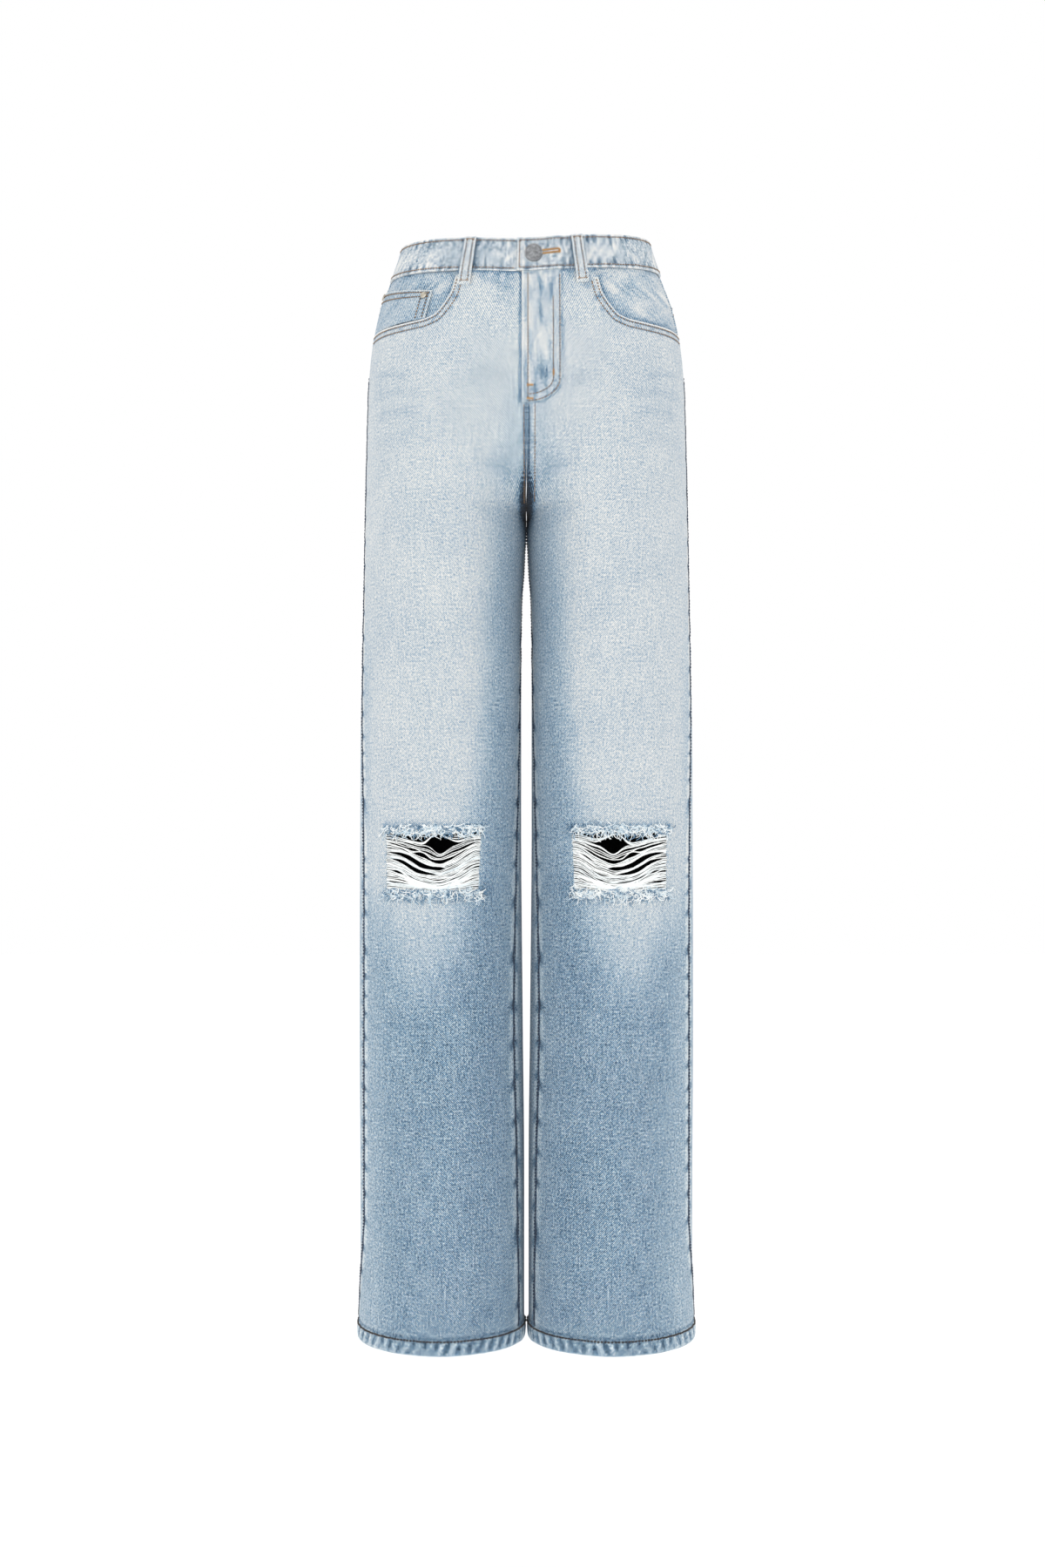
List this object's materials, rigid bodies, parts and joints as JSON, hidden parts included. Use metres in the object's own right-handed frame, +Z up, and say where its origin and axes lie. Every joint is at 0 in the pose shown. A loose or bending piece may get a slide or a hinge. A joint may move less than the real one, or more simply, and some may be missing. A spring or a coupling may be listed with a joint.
{
  "type": "ripped straight-leg jeans, empty, in worn form",
  "caption": "Light-wash straight-leg five-pocket jeans with torn knees, hollow as when worn, open at waist and hems, zip fly and shank button.",
  "frame": {"origin": "middle of the waist, level with the middle of the waistband at the centre front, where the wearer holds it up", "axes": "+Z up, the front faces -Y, +X towards the wearer's left leg"},
  "size_m": [0.3258, 0.2501, 1.0695],
  "materials": {
    "denim": "worn light-wash twill",
    "band_denim": "worn light-wash twill, folded double",
    "pocket_denim": "light-wash twill, less worn",
    "loop_denim": "bleached twill strip",
    "zip_tape": "woven tape",
    "button_metal": "satin",
    "rivet_metal": "worn satin",
    "zip_metal": "satin"
  },
  "bodies": {
    "root": {"front_right": "denim", "front_left": "denim", "back_right": "denim", "back_left": "denim", "yoke_right": "denim", "yoke_left": "denim", "pocket_backing_right": "pocket_denim", "pocket_backing_left": "pocket_denim", "back_pocket_right": "denim", "back_pocket_left": "denim", "belt_loop_front_right": "loop_denim", "belt_loop_front_left": "loop_denim", "belt_loop_side_right": "loop_denim", "belt_loop_side_left": "loop_denim", "belt_loop_back": "loop_denim", "waistband": "band_denim", "fly": "denim", "zip_tape": "zip_tape", "zip_slider": "zip_metal", "coin_pocket": "pocket_denim", "coin_rivet_outer": "rivet_metal", "coin_rivet_inner": "rivet_metal", "button": "button_metal"}
  },
  "joints": []
}
